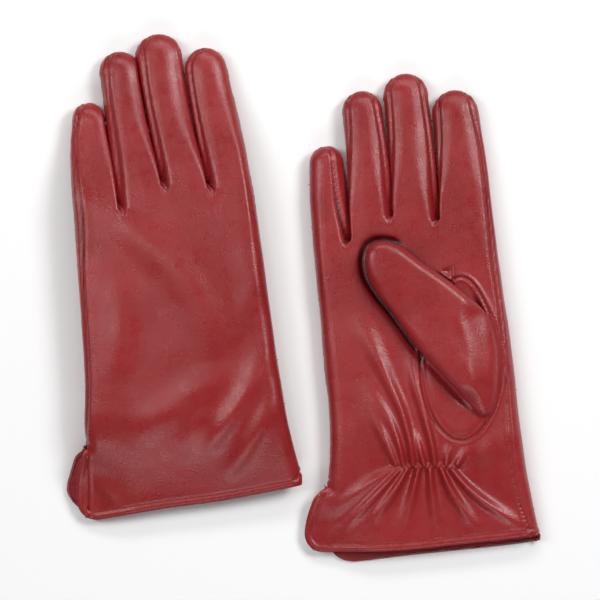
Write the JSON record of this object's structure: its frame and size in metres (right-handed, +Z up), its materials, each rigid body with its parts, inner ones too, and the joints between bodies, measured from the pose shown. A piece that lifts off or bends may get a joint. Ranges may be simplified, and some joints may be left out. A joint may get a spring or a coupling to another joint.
{
  "type": "pair of leather gloves",
  "caption": "Lined leather dress gloves laid flat as a pair, back and palm showing, with fourchettes, folded thumbs, elastic-gathered wrists and side vents.",
  "frame": {"origin": "middle of the two gloves' footprint, on the surface they lie on", "axes": "+Z up, +Y towards the fingertips, +X from the back-up left glove to the palm-up right glove"},
  "size_m": [0.237, 0.2615, 0.023],
  "materials": {
    "leather": "semi-gloss grained glove leather",
    "lining": "brushed knit",
    "elastic": "ribbed elastic tape",
    "thread": "bonded sewing thread"
  },
  "bodies": {
    "left_hand": {"left_back_leather": "leather", "left_palm_leather": "leather", "left_thumb_gusset": "leather", "left_quirk": "leather", "left_hand_lining": "lining", "left_wrist_elastic": "elastic", "left_back_facing": "leather", "left_palm_facing": "leather"},
    "left_thumb": {"left_thumb_leather": "leather", "left_thumb_lining": "lining"},
    "left_pinky": {"left_pinky_leather": "leather", "left_pinky_fourchettes": "leather", "left_pinky_lining": "lining"},
    "left_ring": {"left_ring_leather": "leather", "left_ring_fourchettes": "leather", "left_ring_lining": "lining"},
    "left_middle": {"left_middle_leather": "leather", "left_middle_fourchettes": "leather", "left_middle_lining": "lining"},
    "left_index": {"left_index_leather": "leather", "left_index_fourchettes": "leather", "left_index_lining": "lining"},
    "right_hand": {"right_back_leather": "leather", "right_palm_leather": "leather", "right_thumb_gusset": "leather", "right_quirk": "leather", "right_hand_lining": "lining", "right_wrist_elastic": "elastic", "right_back_facing": "leather", "right_palm_facing": "leather"},
    "right_thumb": {"right_thumb_leather": "leather", "right_thumb_lining": "lining"},
    "right_pinky": {"right_pinky_leather": "leather", "right_pinky_fourchettes": "leather", "right_pinky_lining": "lining"},
    "right_ring": {"right_ring_leather": "leather", "right_ring_fourchettes": "leather", "right_ring_lining": "lining"},
    "right_middle": {"right_middle_leather": "leather", "right_middle_fourchettes": "leather", "right_middle_lining": "lining"},
    "right_index": {"right_index_leather": "leather", "right_index_fourchettes": "leather", "right_index_lining": "lining"}
  },
  "joints": [
    {"name": "left_pinky_bend", "type": "hinge", "parent": "left_hand", "child": "left_pinky", "pos_m": [-0.1046, 0.0452, 0.01], "axis": [-0.9993, -0.0366, 0], "range_deg": [0, 80]},
    {"name": "left_ring_bend", "type": "hinge", "parent": "left_hand", "child": "left_ring", "pos_m": [-0.0833, 0.0522, 0.01], "axis": [-0.9947, -0.1028, 0], "range_deg": [0, 80]},
    {"name": "left_middle_bend", "type": "hinge", "parent": "left_hand", "child": "left_middle", "pos_m": [-0.0613, 0.0562, 0.01], "axis": [-0.9925, -0.1219, 0], "range_deg": [0, 80]},
    {"name": "left_index_bend", "type": "hinge", "parent": "left_hand", "child": "left_index", "pos_m": [-0.0375, 0.0552, 0.01], "axis": [-0.9912, -0.1323, 0], "range_deg": [0, 80]},
    {"name": "left_thumb_fold", "type": "hinge", "parent": "left_hand", "child": "left_thumb", "pos_m": [-0.025, -0.0138, 0.0045], "axis": [0, -1, 0], "range_deg": [0, 150]},
    {"name": "right_pinky_bend", "type": "hinge", "parent": "right_hand", "child": "right_pinky", "pos_m": [0.0149, 0.0252, 0.013], "axis": [0.9993, 0.0366, 0], "range_deg": [0, 80]},
    {"name": "right_ring_bend", "type": "hinge", "parent": "right_hand", "child": "right_ring", "pos_m": [0.0362, 0.0322, 0.013], "axis": [0.9947, 0.1028, 0], "range_deg": [0, 80]},
    {"name": "right_middle_bend", "type": "hinge", "parent": "right_hand", "child": "right_middle", "pos_m": [0.0582, 0.0362, 0.013], "axis": [0.9925, 0.1219, 0], "range_deg": [0, 80]},
    {"name": "right_index_bend", "type": "hinge", "parent": "right_hand", "child": "right_index", "pos_m": [0.082, 0.0352, 0.013], "axis": [0.9912, 0.1323, 0], "range_deg": [0, 80]},
    {"name": "right_thumb_fold", "type": "hinge", "parent": "right_hand", "child": "right_thumb", "pos_m": [0.0945, -0.0338, 0.0185], "axis": [0, 1, 0], "range_deg": [0, 150]},
    {"name": "right_glove_shift", "type": "slide", "parent": "left_hand", "child": "right_hand", "axis": [1, 0, 0], "range_m": [0, 0.12]}
  ]
}
